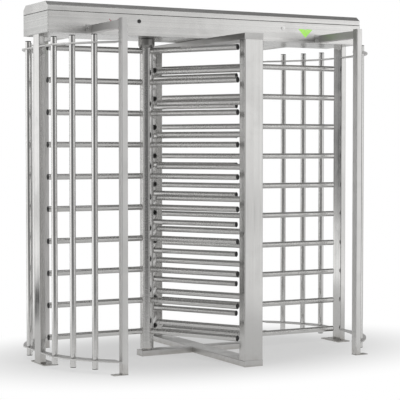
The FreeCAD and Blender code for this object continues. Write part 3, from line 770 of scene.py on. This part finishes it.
# %% Arms with their flanges
arm_low, arm_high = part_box("guard_arms")
arm_half = 0.020
flange_half = 0.058
bm = bmesh.new()
for side in sides.values():
    x = side * guard_post_x
    for face in faces.values():
        near, far = sorted((face * flange_y, face * arm_high.y))
        low, high = Vector((x - arm_half, near, arm_low.z)), Vector((x + arm_half, far, arm_high.z))
        section(bm, low, high, "Y", light_corner, light_wall)
        near, far = sorted((face * case_face_y, face * flange_y))
        block(bm, (x - flange_half, near, arm_low.z), (x + flange_half, far, arm_high.z), 0.0008)
dressed(object_from(bm, "arm_sections"), "frame", "frame_steel", arm_steel, "guard_arms")

# %% Foot plates
foot_plates = softened("foot_plates", "floor_plates", 0.0012, shortest=0.02)
dressed(foot_plates, "frame", "frame_steel", plate_steel, "floor_plates")

# %% [markdown]
# ## Rotor posts
#
# Each rotor has a post of brushed tube with a turned head: a thin lip, a short cone and a wide collar
# that runs just under the header, with the shaft above it. The post and its head are pieces of their
# own, because the head has a darker, duller finish. The small chamfers give the thin bright lines of a
# turned part.

# %% Rotor posts
post_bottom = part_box("rotor_left_tube")[0].z
shaft_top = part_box("rotor_left_tube")[1].z
post_top = 2.0430
collar_top = 2.1010
post_bore, collar_radius, shaft_radius = 0.0400, 0.0545, 0.0200
post_profile = [
    (post_bottom, 0.0414),
    (post_bottom, 0.0436),
    (post_bottom + 0.0009, post_radius),
    (post_top, post_radius),
    (post_top, post_bore),
]
head_profile = [
    (post_top, post_bore),
    (post_top, 0.0464),
    (2.0436, 0.0470),
    (2.0605, 0.0541),
    (2.0614, collar_radius),
    (2.1000, collar_radius),
    (collar_top, 0.0535),
    (collar_top, shaft_radius),
    (shaft_top - 0.0015, shaft_radius),
    (shaft_top, 0.0185),
    (shaft_top, 0.0),
]
for name, side in sides.items():
    axis = (side * rotor_x, 0, 0)
    post = turned_object(f"rotor_post_{name}", post_profile, axis, (0, 0, 1), 96)
    dressed(post, f"{name}_rotor", "tube_steel", bar_steel, f"rotor_{name}_tube")
    head = turned_object(f"rotor_head_{name}", head_profile, axis, (0, 0, 1), 96)
    dressed(head, f"{name}_rotor", "tube_steel", head_steel)

# %% [markdown]
# ## Wing bars and combs
#
# A wing is ten level tubes on the post. One tube, one cap and one weld bead are made, and the tree sets
# them out: ten levels, three turns. A cap has a round flange, three millimetres thick and shallowly
# dished, that stands out of the tube. The comb bars use the same cap and the same kind of bead, with
# one turn.

# %% One bar, one cap, one bead
root = math.sqrt(post_radius**2 - bar_radius**2)
cap_seat = tip_radius - cap_flange
wing_bar = turned_object(
    "wing_bar",
    [(root, bar_radius), (cap_seat - chamfer, bar_radius), (cap_seat, bar_rim)],
    (0, 0, 0),
    (1, 0, 0),
    40,
)
cap_profile = [
    (-0.0090, 0.0),
    (-0.0090, 0.0165),
    (0.0, 0.0175),
    (0.0, 0.0188),
    (0.0004, 0.0190),
    (0.0014, 0.0189),
    (0.0024, 0.0180),
    (0.0030, 0.0160),
    (0.0030, 0.0145),
    (0.0024, 0.0130),
    (0.0024, 0.0),
]
end_cap = turned_object("end_cap", [(cap_seat + d, r) for d, r in cap_profile], (0, 0, 0), (1, 0, 0), 40)


def weld_bead(name, offset, bead=0.0026, ripples=15, steps=60, sections=6):
    """A rippled bead round the root of a level bar. The offset says where the surface is at each y."""
    bm = bmesh.new()
    rings = []
    for k in range(steps):
        angle = 2 * math.pi * k / steps
        size = bead * (1 + 0.16 * math.cos(ripples * angle))
        ring = []
        for s in range(sections):
            turn = 2 * math.pi * s / sections
            r = bar_radius + size * 0.7 * math.cos(turn)
            y, z = r * math.sin(angle), r * math.cos(angle)
            ring.append(bm.verts.new((offset(y) + size * 0.8 * math.sin(turn), y, z)))
        rings.append(ring)
    for k, ring in enumerate(rings):
        following = rings[(k + 1) % steps]
        for s in range(sections):
            n = (s + 1) % sections
            bm.faces.new((ring[s], ring[n], following[n], following[s]))
    bmesh.ops.recalc_face_normals(bm, faces=bm.faces)
    return object_from(bm, name, 80)


post_bead = weld_bead("post_bead", lambda y: math.sqrt(post_radius**2 - y * y))

# %% Rotor wings
for name, side in sides.items():
    first = 180 if side < 0 else 0
    runs = [(10, bar_pitch, lowest_bar[name], 3, first, 120, side * rotor_x)]
    bars = stacked(f"wing_bars_{name}", wing_bar, bar_steel, runs)
    wings = [f"rotor_{name}_wing_{letter}" for letter in "abc"]
    dressed(bars, f"{name}_rotor", "tube_steel", bar_steel, *wings)
    caps = stacked(f"wing_caps_{name}", end_cap, cap_black, runs)
    dressed(caps, f"{name}_rotor", "cap_plastic", cap_black, f"rotor_{name}_caps")
    beads = stacked(f"wing_welds_{name}", post_bead, weld_steel, runs)
    dressed(beads, f"{name}_rotor", "tube_steel", weld_steel)

# %% Comb bars
post_face = -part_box("comb_post_front")[1].y
comb_end = post_face / math.cos(math.radians(comb_slant))
slope = math.tan(math.radians(comb_slant))
comb_seat = comb_reach + cap_flange
comb_bar_profile = [(comb_seat, bar_rim), (comb_seat + chamfer, bar_radius), (comb_end, bar_radius)]
comb_bar = bmesh.new()
lathe(comb_bar, comb_bar_profile, (0, 0, 0), (1, 0, 0), 40)
for vert in comb_bar.verts:
    if vert.co.x > comb_end - 0.001:
        vert.co.x = comb_end - slope * vert.co.y
comb_bar = object_from(comb_bar, "comb_bar")
comb_cap = turned_object("comb_cap", [(comb_seat - d, r) for d, r in cap_profile], (0, 0, 0), (1, 0, 0), 40)
comb_bead = weld_bead("comb_bead", lambda y: comb_end - slope * y)
comb_runs = {
    "front": [(9, bar_pitch, lowest_comb_bar, 1, -60, 0, -rotor_x)],
    "back": [(9, bar_pitch, lowest_comb_bar, 1, 120, 0, rotor_x)],
}
for face, runs in comb_runs.items():
    bars = stacked(f"comb_rods_{face}", comb_bar, bar_steel, runs)
    dressed(bars, "frame", "tube_steel", bar_steel, f"comb_bars_{face}")
both = comb_runs["front"] + comb_runs["back"]
dressed(stacked("comb_caps", comb_cap, cap_black, both), "frame", "cap_plastic", cap_black, "comb_end_caps")
dressed(stacked("comb_welds", comb_bead, weld_steel, both), "frame", "tube_steel", weld_steel)

# %% [markdown]
# ## Guard drums
#
# Each lane is closed on its outer side by upright tubes on an arc. The tubes have dark plugs at both
# ends. Two flat ring plates tie them together and run on, straight, to the end post.

# %% Guard tubes
tube_low, tube_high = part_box("guard_tubes_left")
tube_profile = [(tube_low.z + 0.004, bar_radius), (tube_high.z - 0.005, bar_radius)]
guard_tube = turned_object("guard_tube", tube_profile, (guard_radius, 0, 0), (0, 0, 1))
plug_profile = [(0, 0.0), (0, 0.0170), (0.0012, 0.0188), (0.0046, 0.0190), (0.0052, 0.0178), (0.0052, 0.0)]
plug = bmesh.new()
for start, way in ((tube_low.z, 1), (tube_high.z, -1)):
    lathe(plug, [(start + way * d, r) for d, r in plug_profile], (guard_radius, 0, 0), (0, 0, 1))
plug = object_from(plug, "plug")
for name, side in sides.items():
    outward = 180 if side < 0 else 0
    step = guard_angles[1] - guard_angles[0]
    runs = [
        (1, 1.0, 0.0, 3, outward - guard_angles[2], step, side * rotor_x),
        (1, 1.0, 0.0, 3, outward + guard_angles[0], step, side * rotor_x),
    ]
    tubes = stacked(f"guard_rods_{name}", guard_tube, tube_steel, runs)
    dressed(tubes, "frame", "tube_steel", tube_steel, f"guard_tubes_{name}")
    dressed(stacked(f"guard_plugs_{name}", plug, cap_black, runs), "frame", "cap_plastic", cap_black)

# %% Guard rings
for name in sides:
    ring = softened(f"guard_hoops_{name}", f"guard_rings_{name}", 0.0008)
    dressed(ring, "frame", "tube_steel", arm_steel, f"guard_rings_{name}")

# %% [markdown]
# ## Small parts
#
# Bolts hold the arms to the header, a lock keeps each side of the lid shut, and a field of lamps shows
# which lane is open. They are small in the picture, yet a bare face without them looks unfinished.


# %% Arm bolts
def facing(face):
    """The turn that makes an upright piece look out of the front or the back."""
    return math.radians(-90 * face), 0, 0


washer_profile = [(0.0, 0.0), (0.0, 0.0095), (0.0009, 0.0100), (0.0010, 0.0)]
hexagon_profile = [(0.0008, 0.0075), (0.0044, 0.0075), (0.0050, 0.0064), (0.0050, 0.0)]
bolt_offset = 0.046
bolt = bmesh.new()
lathe(bolt, washer_profile, (0, 0, 0), (0, 0, 1), 24)
lathe(bolt, hexagon_profile, (0, 0, 0), (0, 0, 1), 6)
bolt = object_from(bolt, "bolt")
made = []
for face in faces.values():
    places = []
    for side in sides.values():
        for way in (-1, 1):
            x = side * guard_post_x + way * bolt_offset
            places.append((x, face * flange_y, (arm_low.z + arm_high.z) / 2))
    made.append(on_points("bolt_row", places, bolt, facing(face), bright_steel))
dressed(joined("flange_bolts", made), "frame", "bright_steel", bright_steel, "arm_bolts")

# %% Lamps behind the face
dome_profile = [(-0.0015, 0.0035), (0.0002, 0.0035), (0.0009, 0.0025), (0.0012, 0.0)]
lamp_dome = turned_object("lamp_dome", dome_profile, (0, 0, 0), (0, 0, 1), 12)
board_low, board_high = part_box("signal_boards")
board_half = 0.060
signal_z = (board_low.z + board_high.z) / 2
signal_x = board_high.x - board_half
lamp_pitch = 0.0072


def arrow_head():
    """The cells of a thick arrow head that points down."""
    return [(c, r) for c in range(-7, 8) for r in range(-4, 4) if 0 <= r + 4 - abs(c) <= 6]


def cross():
    """The cells of a cross."""
    return [(c, r) for c in range(-4, 5) for r in range(-4, 5) if abs(c) == abs(r)]


def lamp_field(name, cells, x, face, material):
    points = [(x + c * lamp_pitch, face * case_face_y, signal_z + r * lamp_pitch) for c, r in cells]
    field = on_points(name, points, lamp_dome, facing(face), material)
    dressed(field, "frame", "signal_plastic", material)


lamp_field("open_lamps_front", arrow_head(), signal_x, -1, green_lamp)
lamp_field("closed_lamps_front", cross(), -signal_x, -1, red_lamp)
lamp_field("open_lamps_back", arrow_head(), -signal_x, 1, green_lamp)
lamp_field("closed_lamps_back", cross(), signal_x, 1, red_lamp)

# %% Finishes of the small pieces, by slot
finishes = {
    "box_paint": box_paint,
    "bright_steel": bright_steel,
    "bush_brass": bush_brass,
    "frame_steel": plate_steel,
    "lock_black": lock_black,
    "machined_steel": machined_steel,
    "signal_plastic": signal_board_green,
    "solenoid_black": solenoid_black,
}

# %% Lock housings, a dark one and a bright one
for name, slot in (("left", "lock_black"), ("right", "bright_steel")):
    housing = softened(f"lock_housing_{name}", "lock_housings", 0.0006, shortest=0.003)
    one_side = bmesh.new()
    one_side.from_mesh(housing.data)
    others = [vert for vert in one_side.verts if vert.co.x * sides[name] < 0]
    bmesh.ops.delete(one_side, geom=others, context="VERTS")
    one_side.to_mesh(housing.data)
    one_side.free()
    nodes = ["lock_housings"] if name == "left" else []
    dressed(housing, "frame", slot, finishes[slot], *nodes)

# %% The pieces that keep their shape, with their edges eased
kept = [
    ("lid_hinge_pins", "frame", "bright_steel", 0.0004),
    ("mechanism_plates", "frame", "frame_steel", 0.001),
    ("bearing_housings", "frame", "box_paint", 0.0012),
    ("shaft_bearings", "frame", "machined_steel", 0.0008),
    ("lock_solenoids", "frame", "solenoid_black", 0.001),
    ("position_sensors", "frame", "solenoid_black", 0.0006),
    ("control_box", "frame", "box_paint", 0.004),
    ("power_supply", "frame", "box_paint", 0.002),
    ("signal_boards", "frame", "signal_plastic", 0.0006),
    ("floor_pivots", "frame", "machined_steel", 0.0006),
    ("lid_hinge_leaves", "lid", "bright_steel", 0.0004),
    ("lid_hooks", "lid", "bright_steel", 0.0004),
    ("lid_lock_left", "lid_lock_left", "lock_black", 0.0004),
    ("lid_lock_right", "lid_lock_right", "bright_steel", 0.0004),
]
for name in sides:
    kept.append((f"rotor_{name}_locking_disc", f"{name}_rotor", "machined_steel", 0.0008))
    kept.append((f"rotor_{name}_bush", f"{name}_rotor", "bush_brass", 0.0006))
    for place in ("outer", "inner"):
        node = f"lock_bolt_{name}_{place}"
        kept.append((node, node, "bright_steel", 0.0005))
for node, body, slot, radius in kept:
    dressed(softened(node + "_detail", node, radius, shortest=0.003), body, slot, finishes[slot], node)

# %% Clear away the patterns that were copied
for thing in (wing_bar, end_cap, post_bead, comb_bar, comb_cap, comb_bead, guard_tube, plug, bolt, lamp_dome):
    bpy.data.objects.remove(thing)

# %% [markdown]
# ## The studio
#
# The photograph is a catalogue picture: white all round, a soft grey pool on the floor, and steel that
# reflects a white room. The room is dark on the side where the camera stands, which draws the dark line
# down the middle of every tube. Narrower patches, lighter or darker, give the flat sides of the posts
# their own levels. The room is lighter near the floor than overhead.

# %% The light of the room in every direction
room_light, given, end = new_group(
    "room_light", [("Vector", "NodeSocketVector", (0, 0, 1))], [("Level", "NodeSocketFloat")]
)
unit = vector_node(room_light, "NORMALIZE", given["Vector"])["Vector"]
room_split = room_light.nodes.new("ShaderNodeSeparateXYZ")
room_light.links.new(unit, room_split.inputs[0])


def patch(direction, low, high, amount):
    """Light that is added round a level direction. Low and high say how closely a ray points there."""
    centre = Vector((*direction, 0)).normalized()
    closeness = vector_node(room_light, "DOT_PRODUCT", unit, centre)["Value"]
    return math_node(room_light, "MULTIPLY", ranged(room_light, closeness, low, high), amount)


walls = 0.88
for added in (
    patch((0.707, -0.707), 0.90, 0.99, 0.42),
    patch((-0.423, 0.906), 0.985, 0.998, 0.50),
    patch((-0.47, -0.883), 0.66, 0.96, -0.68),
    patch((-0.620, 0.785), 0.9900, 0.9970, -0.85),
    patch((1.0, 0.1), 0.60, 0.95, -0.35),
    patch((-0.927, 0.375), 0.90, 0.98, 0.65),
):
    walls = math_node(room_light, "ADD", added, walls)
ceiling = ranged(room_light, room_split.outputs["Z"], 0.10, 0.70, 1.0, 0.30)
room_light.links.new(math_node(room_light, "MULTIPLY", walls, ceiling), end["Level"])


def camera_rays(tree):
    """One for the rays that the camera sends, also those through glass."""
    path = tree.nodes.new("ShaderNodeLightPath").outputs
    return math_node(tree, "MAXIMUM", path["Is Camera Ray"], path["Is Transmission Ray"])


# %% Floor
reach = 30
corners = [(-reach, -reach, 0), (reach, -reach, 0), (reach, reach, 0), (-reach, reach, 0)]
floor_mesh = bpy.data.meshes.new("floor")
floor_mesh.from_pydata(corners, [], [(0, 1, 2, 3)])
floor = linked_object("floor", floor_mesh)
floor_white, tree, shader, place = new_material("floor_white")
floor_white.cycles.emission_sampling = "NONE"
shader.inputs["Roughness"].default_value = 1.0
shader.inputs["Specular IOR Level"].default_value = 0.0
shader.inputs["Base Color"].default_value = (0.80, 0.80, 0.795, 1)


def ring_distance(stretch):
    """The distance from the middle of the floor, after the floor is stretched."""
    return vector_node(tree, "LENGTH", vector_node(tree, "MULTIPLY", place, stretch)["Vector"])["Value"]


# Painted shadow: near the middle, camera rays see less of the white glow and more of the lit floor. This
# paints a grey pool round the turnstile by position on the floor, and the lamps' real shadows show in it too.
painted_shadow_pool = ranged(tree, ring_distance((1 / 1.3, 1 / 0.85, 1)), 0.6, 1.7, 0.45, 1.0)
outward = ring_distance((1, 1, 1))
far_floor = ranged(tree, outward, 2.0, 4.0)
horizon = ranged(tree, outward, 10.0, 20.0, 1.0, 0.7)
level = placed_group(tree, room_light, place)["Level"]
far_level = math_node(tree, "MULTIPLY", math_node(tree, "MULTIPLY", far_floor, level), horizon)
near_level = math_node(tree, "MULTIPLY", math_node(tree, "SUBTRACT", 1.0, far_floor), 0.90)
mirrored = math_node(tree, "ADD", far_level, near_level)
seen = camera_rays(tree)
glow = tree.nodes.new("ShaderNodeEmission")
tree.links.new(math_node(tree, "MAXIMUM", mirrored, seen), glow.inputs["Strength"])
glossy = tree.nodes.new("ShaderNodeLightPath").outputs["Is Glossy Ray"]
# The painted shadow pool sets the share of white glow that the camera sees.
share = math_node(tree, "MULTIPLY", seen, painted_shadow_pool)
share = math_node(tree, "MAXIMUM", share, math_node(tree, "MULTIPLY", glossy, 0.7))
share = math_node(tree, "MAXIMUM", share, math_node(tree, "MULTIPLY", far_floor, 0.95))
mixed = tree.nodes.new("ShaderNodeMixShader")
for socket, value in zip(mixed.inputs, (share, shader.outputs[0], glow.outputs[0])):
    tree.links.new(value, socket)
tree.links.new(mixed.outputs[0], tree.nodes["Material Output"].inputs["Surface"])
floor_mesh.materials.append(floor_white)

# %% World
world = bpy.data.worlds.new("studio")
scene.world = world
world.use_nodes = True
tree = world.node_tree
background = tree.nodes["Background"]
direction = tree.nodes.new("ShaderNodeTexCoord").outputs["Generated"]
level = placed_group(tree, room_light, direction)["Level"]
tree.links.new(math_node(tree, "MAXIMUM", level, camera_rays(tree)), background.inputs["Strength"])
background.inputs["Color"].default_value = (1, 1, 1, 1)


# %% Lamps
def soft_lamp(name, location, target, size, power):
    """A wide lamp that looks at a point."""
    data = bpy.data.lights.new(name, "AREA")
    data.shape = "RECTANGLE"
    data.size, data.size_y = size
    data.energy = power
    thing = linked_object(name, data)
    thing.location = location
    thing.rotation_euler = (Vector(target) - Vector(location)).to_track_quat("-Z", "Y").to_euler()


soft_lamp("lamp_right", (4.5, -4.0, 4.2), (0, 0, 1.2), (3.0, 3.0), 20)
soft_lamp("lamp_top", (-0.5, -1.0, 6.0), (0, 0, 1.0), (4.0, 3.0), 60)
